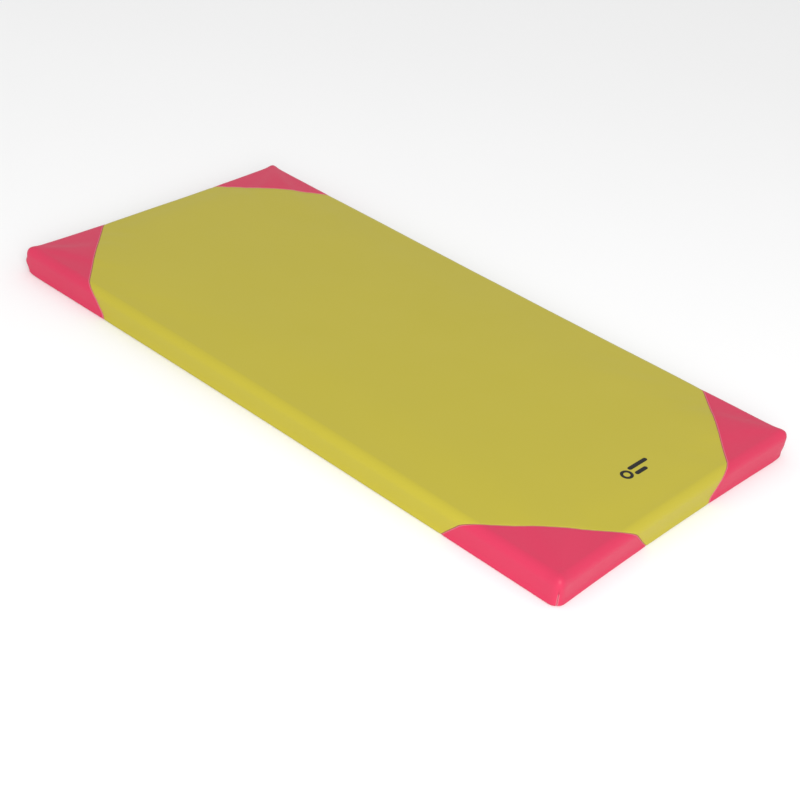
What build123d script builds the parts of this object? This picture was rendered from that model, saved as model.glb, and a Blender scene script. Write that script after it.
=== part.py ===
"""A padded floor mat for tumbling and motor-skills play: a foam block in a zipped vinyl cover.

The cover is one large sheet over the top and sides, four corner sheets in a second colour, a non-slip base
sheet, and a low strip under a zip that runs along one short side. The zip has two tapes, two rows of moulded
teeth, end stops, a slider and a pull tab.

Millimetres. X runs along the mat, Y across it, Z up. The origin is the middle of the base, on the floor.
"""

import os

from build123d import *

# Driving dimensions of the mat
LENGTH = 2000.0
WIDTH = 1000.0
FOAM_THICKNESS = 75.0
SHEET = 1.0  # vinyl-coated cloth
SEAM_ROOM = 1.5  # between the cover and the foam, for the folded seam edges and the thread
HEIGHT = FOAM_THICKNESS + 2 * (SHEET + SEAM_ROOM)

TOP_ROUND = 26.0  # how the cover bends over the foam's top edge
BOTTOM_ROUND = 6.0
CORNER_ROUND = 30.0  # in plan
DART_LOW = 3.0  # the upright corner seam runs between these heights
DART_HIGH = 52.0

# Seams between the sheets
SEAM_GAP = 0.3
CORNER_LEG = 295.0  # from the mat's corner to where a diagonal seam meets the edge of the top
SEAM_LEAN = 0.9  # how far a seam drifts away from its corner for each millimetre down the side
BASE_INSET = 9.0  # from the mat's outline to the base seam, on the underside
THREAD = 0.8
THREAD_DEPTH = SHEET + 0.2  # from the cover's outside to the top of a hidden thread
TOPSTITCH_INSET = 2.5  # from the edge of the zip's slot to the stitches round it

# The zip, along the short side at -X
ZIP_HEIGHT = 22.0  # of the teeth's middle line above the floor
TAPE_LENGTH = 920.0
TAPE = 0.8
TAPE_INNER = 3.0  # from the middle line to the edge that the teeth are moulded on
TAPE_OUTER = 15.0
TAPE_GAP = 0.05  # between the tape and the sheet it is sewn behind
ZIP_INSET = SHEET + TAPE_GAP + TAPE / 2  # from the mat's end to the middle of the tape
OPENING = 16.0  # height of the slot in the cover that shows the teeth

TOOTH_PITCH = 4.0
TOOTH_THICKNESS = 3.0
CHAIN_HALF = 4.0  # half the width of the closed chain
TOOTH_NECK = 0.65
TOOTH_HEAD = 1.0
TOOTH_ROOT = 1.55

SLIDER_LENGTH = 15.0
SLIDER_REAR = 11.6
SLIDER_FRONT = 14.8
SLIDER_HALF_HEIGHT = 2.7
CHANNEL_HALF_HEIGHT = 1.7
CHANNEL_CLEARANCE = 0.2
SLIT_HALF_HEIGHT = 0.6
WEDGE_TIP = -0.5  # along the slider, from its middle
WEDGE_HALF = 1.9
FLANGE = 1.0
SLIDER_EDGE = 0.5
SLIDER_ROOM = 2.0  # between the slider and the foam

STOP_LENGTH = 4.0
STOP_HEIGHT = 4.2
STOP_CLEARANCE = 0.3
TOP_STOP_START = 445.0  # along the zip, from its middle
BOTTOM_STOP_START = -444.0

LUG_RADIUS = 1.7
LUG_WIDTH = 2.6
PIN_RADIUS = 0.82
PIN_CLEARANCE = 0.06
AXIS_ABOVE_PLATE = 1.5
PULL_LENGTH = 26.0
PULL_WIDTH = 8.0
PULL_THICKNESS = 1.6
PULL_WINDOW = 2.4  # from the pin's axis to the near edge of the tab
PULL_SIDE_ROOM = 0.3  # between the lug and each cheek
CHEEK = 1.5

# Worked out
SLIDER_REST = TOP_STOP_START - STOP_CLEARANCE - SLIDER_LENGTH / 2
SLIDER_TRAVEL = SLIDER_REST - (BOTTOM_STOP_START + STOP_CLEARANCE + SLIDER_LENGTH / 2)
LUG_AXIS_HEIGHT = SLIDER_HALF_HEIGHT + AXIS_ABOVE_PLATE
CORNERS = {"near_left": (-1, -1), "near_right": (1, -1), "far_left": (-1, 1), "far_right": (1, 1)}

# The zip's own plane: X along the zip towards -Y, Y up, Z out of the mat's end
zip_plane = Plane(origin=(-LENGTH / 2 + ZIP_INSET, 0, ZIP_HEIGHT), x_dir=(0, -1, 0), z_dir=(-1, 0, 0))


def rounded_block(inset):
    """The mat's outer form, drawn in by inset on every side."""
    with BuildPart() as block:
        with BuildSketch(Plane.XY.offset(inset)):
            RectangleRounded(LENGTH - 2 * inset, WIDTH - 2 * inset, CORNER_ROUND - inset)
        extrude(amount=HEIGHT - 2 * inset)
        fillet(block.faces().sort_by(Axis.Z)[-1].edges(), TOP_ROUND - inset)
        fillet(block.faces().sort_by(Axis.Z)[0].edges(), BOTTOM_ROUND - inset)
    return block.part


def layer(outside, inside):
    """A closed skin between two depths under the mat's outer form."""
    with BuildPart() as skin:
        add(rounded_block(outside))
        add(rounded_block(inside), mode=Mode.SUBTRACT)
    return skin.part


def seam_plane(corner, shift=0.0):
    """The leaning plane of a corner seam. Its normal points at the corner, and shift moves it that way."""
    side_x, side_y = corner
    lean = Vector(side_x, side_y, -SEAM_LEAN).normalized()
    on_edge = Vector(side_x * (LENGTH / 2 - CORNER_LEG), side_y * WIDTH / 2, HEIGHT)
    return Plane(origin=on_edge + lean * shift, z_dir=lean)


def corner_line_plane(corner, shift=0.0):
    """The upright plane through a corner at 45 degrees, where its two sides are sewn together."""
    side_x, side_y = corner
    across = Vector(side_x, -side_y, 0).normalized()
    middle = Vector(side_x * (LENGTH / 2 - CORNER_ROUND), side_y * (WIDTH / 2 - CORNER_ROUND), 0)
    return Plane(origin=middle + across * shift, z_dir=across)


def zip_slot(low, high, half_length):
    """A block through the wall at -X, between two heights measured from the zip's middle line."""
    with BuildPart() as slot:
        with BuildSketch(zip_plane):
            with Locations((0, (low + high) / 2)):
                Rectangle(2 * half_length, high - low)
        extrude(amount=CORNER_ROUND / 2, both=True)
    return slot.part


def base_outline(inset):
    """A thin block over the flat underside, drawn in by inset from the mat's outline."""
    with BuildPart() as area:
        with BuildSketch():
            RectangleRounded(LENGTH - 2 * inset, WIDTH - 2 * inset, CORNER_ROUND - inset)
        extrude(amount=SHEET + SEAM_ROOM)
    return area.part


def corner_box(corner):
    """A block round one upright corner, between the underside and the start of the top's bend."""
    side_x, side_y = corner
    reach = 2 * CORNER_ROUND
    with BuildPart() as box:
        with BuildSketch(Plane.XY.offset(DART_LOW)):
            with Locations((side_x * LENGTH / 2, side_y * WIDTH / 2)):
                Rectangle(reach, reach)
        extrude(amount=DART_HIGH - DART_LOW)
    return box.part


def between_planes(body, plane_at, corner, thickness):
    """The slice of body within half a thickness of a corner's plane, on either side."""
    with BuildPart() as piece:
        add(body)
        split(bisect_by=plane_at(corner, -thickness / 2), keep=Keep.TOP)
        split(bisect_by=plane_at(corner, thickness / 2), keep=Keep.BOTTOM)
    return piece.part


def corner_panel(walls, corner):
    """The sheet over one corner: a triangle of the top and two side flaps that meet in an upright seam."""
    dart = between_planes(corner_box(corner), corner_line_plane, corner, SEAM_GAP)
    with BuildPart() as panel:
        add(walls)
        split(bisect_by=seam_plane(corner, SEAM_GAP / 2), keep=Keep.TOP)
        add(dart, mode=Mode.SUBTRACT)
    return panel.part


def tape(side):
    """One zip tape, at side +1 above the teeth or -1 below them."""
    with BuildPart() as strip:
        with BuildSketch(zip_plane.offset(-TAPE / 2)):
            with Locations((0, side * (TAPE_INNER + TAPE_OUTER) / 2)):
                Rectangle(TAPE_LENGTH, TAPE_OUTER - TAPE_INNER)
        extrude(amount=TAPE)
    return strip.part


def teeth(side):
    """One row of moulded teeth. The lower row stands half a pitch along from the upper one."""
    count = int((SLIDER_REST + WEDGE_TIP - BOTTOM_STOP_START) // TOOTH_PITCH) - 1
    first = BOTTOM_STOP_START + TOOTH_PITCH / 2 + (side < 0) * TOOTH_PITCH / 2
    half_outline = [
        (TOOTH_ROOT, CHAIN_HALF),
        (TOOTH_ROOT, 1.45),
        (TOOTH_NECK, 0.5),
        (TOOTH_HEAD, -0.55),
        (TOOTH_NECK, -1.2),
    ]
    outline = [(x, side * y) for x, y in half_outline]
    outline += [(-x, y) for x, y in reversed(outline)]
    with BuildPart() as row:
        with BuildSketch(zip_plane.offset(-TOOTH_THICKNESS / 2)):
            with Locations([(first + n * TOOTH_PITCH, 0) for n in range(count)]):
                Polygon(*outline, align=None)
        extrude(amount=TOOTH_THICKNESS)
    return row.part


def save(part, name):
    part.label = name
    export_step(part, f"parts/{name}.step")


os.makedirs("parts", exist_ok=True)

# Foam core: one block, relieved behind the zip so that the slider can pass
with BuildPart() as foam_core:
    add(rounded_block(SHEET + SEAM_ROOM))
    with BuildSketch(zip_plane):
        Rectangle(TAPE_LENGTH, OPENING + 2 * SLIDER_ROOM)
    extrude(amount=-(SLIDER_HALF_HEIGHT + SLIDER_ROOM), mode=Mode.SUBTRACT)
save(foam_core.part, "foam_core")

# Cover: one closed skin, cut along its seams into sheets
with BuildPart() as base_panel:
    add(layer(0, SHEET))
    add(base_outline(BASE_INSET + SEAM_GAP / 2), mode=Mode.INTERSECT)
save(base_panel.part, "base_panel")

with BuildPart() as walls:
    add(layer(0, SHEET))
    add(base_outline(BASE_INSET - SEAM_GAP / 2), mode=Mode.SUBTRACT)

with BuildPart() as zip_band:
    add(walls.part)
    add(zip_slot(-ZIP_HEIGHT, -OPENING / 2, (TAPE_LENGTH - SEAM_GAP) / 2), mode=Mode.INTERSECT)
save(zip_band.part, "zip_band")

with BuildPart() as open_walls:
    add(walls.part)
    add(zip_slot(-ZIP_HEIGHT, OPENING / 2, (TAPE_LENGTH + SEAM_GAP) / 2), mode=Mode.SUBTRACT)

for name, corner in CORNERS.items():
    save(corner_panel(open_walls.part, corner), f"corner_panel_{name}")

with BuildPart() as top_panel:
    add(open_walls.part)
    for corner in CORNERS.values():
        split(bisect_by=seam_plane(corner, -SEAM_GAP / 2), keep=Keep.BOTTOM)
save(top_panel.part, "top_panel")

# Sewing thread, one solid for each line of stitches
with BuildPart() as thread_layer:
    add(layer(THREAD_DEPTH, THREAD_DEPTH + THREAD))
    add(base_outline(BASE_INSET - THREAD), mode=Mode.SUBTRACT)
    add(zip_slot(-ZIP_HEIGHT, TAPE_OUTER + THREAD, TAPE_LENGTH / 2), mode=Mode.SUBTRACT)

with BuildPart() as corner_seam_threads:
    for corner in CORNERS.values():
        add(between_planes(thread_layer.part, seam_plane, corner, THREAD))
save(corner_seam_threads.part, "corner_seam_threads")

with BuildPart() as corner_edge_threads:
    for corner in CORNERS.values():
        line = between_planes(corner_box(corner), corner_line_plane, corner, THREAD)
        add(line & thread_layer.part)
save(corner_edge_threads.part, "corner_edge_threads")

with BuildPart() as base_seam_thread:
    with BuildSketch(Plane.XY.offset(THREAD_DEPTH)):
        for inset, mode in ((BASE_INSET - THREAD / 2, Mode.ADD), (BASE_INSET + THREAD / 2, Mode.SUBTRACT)):
            RectangleRounded(LENGTH - 2 * inset, WIDTH - 2 * inset, CORNER_ROUND - inset, mode=mode)
    extrude(amount=THREAD)
save(base_seam_thread.part, "base_seam_thread")

with BuildPart() as zip_seam_threads:
    with BuildSketch(zip_plane.offset(ZIP_INSET)):
        with GridLocations(0, OPENING + 2 * TOPSTITCH_INSET, 1, 2):
            Rectangle(TAPE_LENGTH - 2 * TOPSTITCH_INSET, THREAD)
    extrude(amount=THREAD / 2)
save(zip_seam_threads.part, "zip_seam_threads")

# Zip
save(tape(1), "zip_tape_upper")
save(tape(-1), "zip_tape_lower")
save(teeth(1), "zip_teeth_upper")
save(teeth(-1), "zip_teeth_lower")

with BuildPart() as zip_end_stops:
    with BuildSketch(zip_plane.offset(-STOP_HEIGHT / 2)):
        with Locations((TOP_STOP_START + STOP_LENGTH / 2, 0)):
            with GridLocations(0, TAPE_INNER + CHAIN_HALF + FLANGE, 1, 2):
                RectangleRounded(STOP_LENGTH, CHAIN_HALF, STOP_LENGTH / 8)
        with Locations((BOTTOM_STOP_START - STOP_LENGTH / 2, 0)):
            RectangleRounded(STOP_LENGTH, 2 * (CHAIN_HALF + FLANGE), STOP_LENGTH / 8)
    extrude(amount=STOP_HEIGHT)
save(zip_end_stops.part, "zip_end_stops")

slider_plane = Plane(zip_plane.from_local_coords((SLIDER_REST, 0, 0)), zip_plane.x_dir, zip_plane.z_dir)
hinge_plane = Plane(slider_plane.from_local_coords((0, 0, LUG_AXIS_HEIGHT)), zip_plane.x_dir, zip_plane.y_dir)

with BuildPart() as zip_slider:
    rear, front = -SLIDER_LENGTH / 2, SLIDER_LENGTH / 2
    with BuildSketch(slider_plane.offset(-SLIDER_HALF_HEIGHT)):
        Polygon(
            (rear, -SLIDER_REAR / 2),
            (front, -SLIDER_FRONT / 2),
            (front, SLIDER_FRONT / 2),
            (rear, SLIDER_REAR / 2),
            align=None,
        )
    extrude(amount=2 * SLIDER_HALF_HEIGHT)
    # The mat's end faces -X, so the slider's upright edges run along X
    fillet(zip_slider.edges().filter_by(Axis.X), FLANGE)
    fillet(zip_slider.faces().sort_by(Axis.X)[0].edges(), SLIDER_EDGE)
    # Two channels that meet behind the wedge, one for each row of teeth
    channel_half = CHAIN_HALF + CHANNEL_CLEARANCE
    mouth = WEDGE_HALF + channel_half
    with BuildSketch(slider_plane.offset(-CHANNEL_HALF_HEIGHT)):
        for side in (-1, 1):
            Polygon(
                (rear - 1, 0),
                (rear - 1, side * channel_half),
                (WEDGE_TIP, side * channel_half),
                (front + 1, side * mouth),
                (front + 1, side * WEDGE_HALF),
                (WEDGE_TIP, 0),
                align=None,
            )
    extrude(amount=2 * CHANNEL_HALF_HEIGHT, mode=Mode.SUBTRACT)
    # Slits that the tapes run out through
    with BuildSketch(slider_plane.offset(-SLIT_HALF_HEIGHT)):
        with GridLocations(0, 2 * CHAIN_HALF + SLIDER_FRONT / 2, 1, 2):
            Rectangle(SLIDER_LENGTH + 2, SLIDER_FRONT / 2)
    extrude(amount=2 * SLIT_HALF_HEIGHT, mode=Mode.SUBTRACT)
    # Lug that holds the pull's pin
    with BuildSketch(hinge_plane):
        Circle(LUG_RADIUS)
        with Locations((0, -AXIS_ABOVE_PLATE / 2)):
            Rectangle(2 * LUG_RADIUS, AXIS_ABOVE_PLATE + SLIDER_EDGE)
    extrude(amount=LUG_WIDTH / 2, both=True)
    with BuildSketch(hinge_plane):
        Circle(PIN_RADIUS + PIN_CLEARANCE)
    extrude(amount=LUG_WIDTH, both=True, mode=Mode.SUBTRACT)
save(zip_slider.part, "zip_slider")

with BuildPart() as zip_pull:
    inner = LUG_WIDTH / 2 + PULL_SIDE_ROOM
    outer = inner + CHEEK
    with BuildSketch(slider_plane.offset(LUG_AXIS_HEIGHT - PULL_THICKNESS / 2)):
        Polygon(
            (0, -outer),
            (-PULL_WINDOW, -outer),
            (-2 * PULL_WINDOW, -PULL_WIDTH / 2),
            (-PULL_LENGTH, -PULL_WIDTH / 2),
            (-PULL_LENGTH, PULL_WIDTH / 2),
            (-2 * PULL_WINDOW, PULL_WIDTH / 2),
            (-PULL_WINDOW, outer),
            (0, outer),
            align=None,
        )
        Rectangle(2 * PULL_WINDOW, 2 * inner, mode=Mode.SUBTRACT)
        with Locations((-PULL_LENGTH + PULL_WIDTH / 2, 0)):
            SlotOverall(PULL_WIDTH / 2, PULL_THICKNESS, rotation=90, mode=Mode.SUBTRACT)
    extrude(amount=PULL_THICKNESS)
    tip = zip_pull.edges().filter_by(Axis.X).group_by(Axis.Y)[-1]
    fillet(tip, PULL_WIDTH / 3)
    with BuildSketch(hinge_plane):
        Circle(PIN_RADIUS)
    extrude(amount=outer, both=True)
save(zip_pull.part, "zip_pull")
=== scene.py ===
"""The looks of a padded gym mat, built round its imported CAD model. Metres, in the CAD frame.

The cover is one soft form, found by a cloth simulation, and cut into sheets along its seams. Each
sheet's edges roll down into the seams, where separate stitches hold them. The foam, base sheet and
printed mark follow the same form. The zip's own parts are the CAD's, with finished materials.
"""

import math

import bpy
import numpy as np
from mathutils import Matrix, Vector
from mathutils.bvhtree import BVHTree


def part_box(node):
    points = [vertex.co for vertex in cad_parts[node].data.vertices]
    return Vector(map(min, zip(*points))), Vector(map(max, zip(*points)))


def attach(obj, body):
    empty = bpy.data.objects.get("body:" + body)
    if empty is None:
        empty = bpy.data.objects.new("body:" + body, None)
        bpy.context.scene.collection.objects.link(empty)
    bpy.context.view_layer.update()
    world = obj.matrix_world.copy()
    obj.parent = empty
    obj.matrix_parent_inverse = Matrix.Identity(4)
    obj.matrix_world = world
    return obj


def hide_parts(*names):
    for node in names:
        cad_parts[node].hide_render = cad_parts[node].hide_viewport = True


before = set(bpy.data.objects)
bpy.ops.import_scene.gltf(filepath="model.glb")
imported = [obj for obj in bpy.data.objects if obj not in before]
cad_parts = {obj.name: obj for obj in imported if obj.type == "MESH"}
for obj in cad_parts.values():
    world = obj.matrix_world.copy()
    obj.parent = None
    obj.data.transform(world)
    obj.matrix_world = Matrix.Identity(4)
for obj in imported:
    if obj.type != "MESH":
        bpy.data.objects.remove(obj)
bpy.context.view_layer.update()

# The mat's form, from the CAD model's own boxes
HALF_X, HALF_Y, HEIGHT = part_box("top_panel")[1]
_, SLOT_HALF, SLOT_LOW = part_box("zip_band")[1]
FOAM_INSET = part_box("foam_core")[0].z
BASE_INSET = HALF_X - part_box("base_panel")[1].x
TEETH_MIDDLE = (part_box("zip_teeth_lower")[0].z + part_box("zip_teeth_upper")[1].z) / 2
SLOT_HIGH = 2 * TEETH_MIDDLE - SLOT_LOW

SHEET = 0.001  # thickness of the coated cloth
TOP_ROUND = 0.026
BOTTOM_ROUND = 0.006
CORNER_ROUND = 0.030  # in plan
CORNER_LEG = 0.295  # from the mat's corner to where a diagonal seam meets the edge of the top
SEAM_LEAN = 0.9  # drift of a diagonal seam away from its corner, for each metre down the side
DART_TOP = 0.052  # height where the upright corner seams end

SEAM_ROLL = 0.0034  # reach of the roll at a sheet's edge, where it turns down into a seam
SEAM_DEPTH = 0.0020  # how deep that edge ends up
SEAM_HALF_GAP = 0.0001
SEAM_SAG = 0.0009  # how far the cover around a seam lies lower
SEAM_SAG_REACH = 0.010

THREAD = 0.00075  # its diameter
THREAD_SIDES = 8
STITCH_PITCH = 0.0048
SEAM_STITCH = 0.0030  # length of a stitch across a seam
SEAM_STITCH_DEPTH = 0.0013  # how far down in the seam it lies
TOP_STITCH = 0.0034  # length of a stitch along the zip
TOP_STITCH_DEPTH = -0.0001  # just proud of the cover
STITCH_INSET = 0.0025  # from the edge of the zip's slot to the stitches round it

BOW_LONG = 0.0065  # how far the long sides pull in at their middle
BOW_SHORT = 0.0085
SWELL_LIMIT = 0.0045  # most that the simulated padding may move the cover
SQUEEZE = 0.0025  # how far the seams' folded edges press the foam in
DRIFT = 0.15  # share kept of the padding's move along the cover
RELIEF = 0.0060  # depth of the foam's groove behind the zip
RELIEF_HALF = 0.014  # half its height

# Shallow waves in the cover: how many, shortest and longest length, height and seed
WAVES_ALL = (7, 0.16, 0.45, 0.00035, 11)
WAVES_SEAM = (6, 0.018, 0.05, 0.00030, 5)
WAVES_CORNER = (6, 0.012, 0.03, 0.00025, 23)
WAVES_SEAM_REACH = 0.016
WAVES_CORNER_REACH = 0.012

PEAK_OUT, PEAK_UP = 0.0040, 0.0038  # how far a corner's tip stands out past its round
PEAK_REACH = 0.019
TUCK = 0.0065  # how far the feet of two opposite corners are drawn in
TUCK_REACH = 0.034
TUCK_TOP = 0.45  # share of the height where the tuck starts

# The printed mark: a ring and two bars, standing for whatever a maker would print here
MARK_X, MARK_Y = 0.842, 0.007
MARK_BAR = 0.0065  # half the width of a bar
MARK_BARS = ((-0.018, 0.060, 0.0125), (-0.018, 0.030, -0.0125))  # start, end and place across
MARK_RING = (0.0095, 0.0185)
MARK_RING_START = -0.0585
INK = 0.0001

CELL = 0.010  # size of the sheets' mesh away from seams and bends
WALL_CELL = 0.005
BEND_CELL = 0.003
LIP_CELL = 0.002
FINE = 0.0018  # size of the mesh along a seam
SEAM_OUTER_ROWS = (0.0048, 0.0067)  # rows of the mesh past a sheet's rolled edge
CORNER_OUTER_ROWS = (0.0090, 0.0120, 0.0160)
COARSE_GAP = 0.010  # from a seam to where the plain mesh starts
CAGE_CELL = 0.0125  # size of the simulated mesh
NUDGE = 1e-6  # keeps grid corners that lie on a cut on their own side of it
SHARP = 60  # degrees between faces whose edge stays sharp

FLOOR_HALF = 30.0
FLOOR_DROP = 0.0002
UNDER_MAT = 0.002  # the floor lets light through to whatever lies this close to it

# Distances down the side, from the inner rectangle on the top to the seam on the underside
INNER_X, INNER_Y = HALF_X - CORNER_ROUND, HALF_Y - CORNER_ROUND
S_BEND = CORNER_ROUND - TOP_ROUND
S_WALL = S_BEND + TOP_ROUND * math.pi / 2
S_TURN = S_WALL + HEIGHT - TOP_ROUND - BOTTOM_ROUND
S_LIP = S_TURN + BOTTOM_ROUND * math.pi / 2
S_END = S_LIP + BASE_INSET - BOTTOM_ROUND
S_CENTRE = S_LIP + CORNER_ROUND - BOTTOM_ROUND  # back at the inner rectangle, underneath
HALF_ARC = CORNER_ROUND * math.pi / 4

SIDES = {"left": (-1, 0), "right": (1, 0), "near": (0, -1), "far": (0, 1)}
CORNERS = {"near_left": (-1, -1), "near_right": (1, -1), "far_left": (-1, 1), "far_right": (1, 1)}
X, Y, Z, NX, NY, NZ, DOWN, GAP, EDGE, LEAF = range(10)  # columns of a table of cover points
FAR_AWAY = 1.0
SAME = 1.0123e-6  # points nearer than this are one point


def smooth(value, start, end):
    """0 before start, 1 after end, and a smooth step between them."""
    t = np.clip((value - start) / (end - start), 0, 1)
    return t * t * (3 - 2 * t)


def profile(s):
    """At s down the side: reach outside the inner rectangle, height, and the outward normal's two parts."""
    bend = np.clip((s - S_BEND) / TOP_ROUND, 0, math.pi / 2)
    turn = np.clip((s - S_TURN) / BOTTOM_ROUND, 0, math.pi / 2)
    rim = np.clip(s, 0, S_BEND)
    wall = np.clip(s - S_WALL, 0, S_TURN - S_WALL)
    lip = np.maximum(s - S_LIP, 0)
    reach = rim + TOP_ROUND * np.sin(bend) - BOTTOM_ROUND * (1 - np.cos(turn)) - lip
    height = HEIGHT - TOP_ROUND * (1 - np.cos(bend)) - wall - BOTTOM_ROUND * np.sin(turn)
    return reach, height, np.sin(bend + turn), np.cos(bend + turn)


def table(shape):
    """Blank cover points, one row of columns for each."""
    points = np.zeros(shape + (10,))
    points[..., GAP] = np.nan
    points[..., EDGE] = FAR_AWAY
    return points


def on_side(side, t, s, gap=None):
    """Cover points at t along a side and s down it. Past the inner rectangle, t runs round the corner."""
    t, s = np.broadcast_arrays(np.asarray(t, float), np.asarray(s, float))
    points = table(t.shape)
    out_x, out_y = SIDES[side]
    length, distance = (INNER_Y, INNER_X) if out_x else (INNER_X, INNER_Y)
    reach, height, level, upward = profile(s)
    angle = np.maximum(np.abs(t) - length, 0) / CORNER_ROUND
    ahead, across = np.cos(angle), np.sin(angle) * np.sign(t)
    straight = np.clip(t, -length, length)
    for axis, normal, out, along in ((X, NX, out_x, abs(out_y)), (Y, NY, out_y, abs(out_x))):
        direction = out * ahead + along * across
        points[..., axis] = out * distance + along * straight + direction * reach
        points[..., normal] = direction * level
    points[..., Z], points[..., NZ], points[..., DOWN] = height, upward, s
    points[..., EDGE] = np.maximum(length + HALF_ARC - np.abs(t), 0) * np.maximum(reach, 0) / CORNER_ROUND
    points[..., EDGE][np.abs(t) < length] = FAR_AWAY
    if gap is not None:
        points[..., GAP] = gap
    return points


def on_flat(x, y, top=True, gap=None):
    """Cover points on the flat top, or on the flat underside."""
    x, y = np.broadcast_arrays(np.asarray(x, float), np.asarray(y, float))
    points = table(x.shape)
    points[..., X], points[..., Y], points[..., Z] = x, y, HEIGHT if top else 0
    points[..., NZ] = 1 if top else -1
    points[..., DOWN] = 0 if top else S_CENTRE
    if gap is not None:
        points[..., GAP] = gap
    return points


def seam_gap(points):
    """Distance over the cover from the nearest diagonal seam: above 0 towards the corner."""
    lean = np.array((1, 1, -SEAM_LEAN)) / math.sqrt(2 + SEAM_LEAN**2)
    flip = np.where(points[:, X : Z + 1] < 0, -1, 1) * (1, 1, 0) + (0, 0, 1)
    start = np.array((HALF_X - CORNER_LEG, HALF_Y, HEIGHT))
    through = (points[:, X : Z + 1] * flip - start) @ lean
    facing = (points[:, NX : NZ + 1] * flip) @ lean
    return through / np.sqrt(np.maximum(1 - facing**2, 0.05))


def seam_place(side, s):
    """How far along a side the diagonal seams are, at s down it, and how steeply they cross it."""
    reach, height, level, upward = profile(s)
    length = INNER_Y if SIDES[side][0] else INNER_X
    start = length - CORNER_LEG + 2 * CORNER_ROUND
    slope = np.where(s > S_LIP, 1, -upward) - SEAM_LEAN * level
    return start - reach - SEAM_LEAN * (HEIGHT - height), np.sqrt(1 + slope**2)


class Net:
    """A sheet's points and faces. Points in the same place and on the same leaf are one."""

    def __init__(self):
        self.tables, self.faces, self.count = [], [], 0

    def add(self, points):
        ids = np.arange(points[..., 0].size).reshape(points.shape[:-1]) + self.count
        self.tables.append(points.reshape(-1, 10))
        self.count += ids.size
        return ids

    def grid(self, points):
        ids = self.add(points)
        quads = np.stack((ids[:-1, :-1], ids[1:, :-1], ids[1:, 1:], ids[:-1, 1:]), -1)
        self.faces += quads.reshape(-1, 4).tolist()
        return ids

    def fan(self, coarse, fine):
        """Triangles between a coarse row and a fine row that share their ends."""
        step = (fine.size - 1) // (coarse.size - 1)
        for n in range(coarse.size - 1):
            start, middle = n * step, n * step + step // 2
            for k in range(step):
                apex = coarse[n] if start + k < middle else coarse[n + 1]
                self.faces.append([fine[start + k], fine[start + k + 1], apex])
            self.faces.append([fine[middle], coarse[n + 1], coarse[n]])

    def merged(self):
        """The points and faces with doubles joined and every face turned outwards."""
        points = np.concatenate(self.tables)
        keys = np.round(points[:, (X, Y, Z, LEAF)] / (SAME, SAME, SAME, 1)).astype(np.int64)
        _, first, inverse = np.unique(keys, axis=0, return_index=True, return_inverse=True)
        inverse = inverse.reshape(-1)
        points = points[first]
        place, normal = points[:, X : Z + 1], points[:, NX : NZ + 1]
        faces = []
        for face in self.faces:
            ring = [int(i) for i in inverse[face]]
            ring = [i for n, i in enumerate(ring) if i != ring[n - 1]]
            if len(set(ring)) < 3:
                continue
            a, b, c = place[ring[0]], place[ring[1]], place[ring[2]]
            facing = np.cross(b - a, c - a)
            if len(ring) == 4:
                facing = facing + np.cross(c - a, place[ring[3]] - a)
            faces.append(ring if facing @ normal[ring].sum(0) > 0 else ring[::-1])
        return points, faces


def spaced(start, end, cell):
    """Even steps of about one cell."""
    return np.linspace(start, end, max(2, round(abs(end - start) / cell) + 1))


def joined(*runs):
    """Number runs end to end, each starting where the one before it ended."""
    return np.concatenate([runs[0]] + [run[1:] for run in runs[1:]])


def roll():
    """Distances from a seam, close together where the sheet's edge turns down into it."""
    turns = np.linspace(math.pi / 2, 0, 6)
    return SEAM_HALF_GAP + (SEAM_ROLL - SEAM_HALF_GAP) * (1 - np.sin(turns))


SEAM_ROWS = np.append(roll(), SEAM_OUTER_ROWS)
S_SLOT = S_WALL + HEIGHT - TOP_ROUND - SLOT_HIGH
S_BAND = S_WALL + HEIGHT - TOP_ROUND - SLOT_LOW
ROWS_TOP = joined(
    spaced(0, S_BEND, S_BEND),
    spaced(S_BEND, S_WALL, BEND_CELL),
    spaced(S_WALL, S_SLOT, WALL_CELL),
)
ROWS_LOW = joined(
    spaced(S_SLOT, S_TURN, WALL_CELL),
    spaced(S_TURN, S_LIP, LIP_CELL),
    S_END - roll()[::-1],
)
ROWS = joined(ROWS_TOP, ROWS_LOW)


def rows_of(side):
    """The mesh rows down a side. The left side's sheets stop at the zip."""
    return ROWS_TOP if side == "left" else ROWS


def finer(rows):
    """The same rows with a fine, even number of steps in each, and that number."""
    step = max(2, round(max(np.diff(rows)) / FINE))
    t = np.arange((rows.size - 1) * step + 1) / step
    return np.interp(t, np.arange(rows.size), rows), step


def flaps_of(corner):
    """The long and the short side that meet at a corner, each with the corner's direction along it."""
    side_x, side_y = corner
    return ("near" if side_y < 0 else "far", side_x), ("left" if side_x < 0 else "right", side_y)


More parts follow.
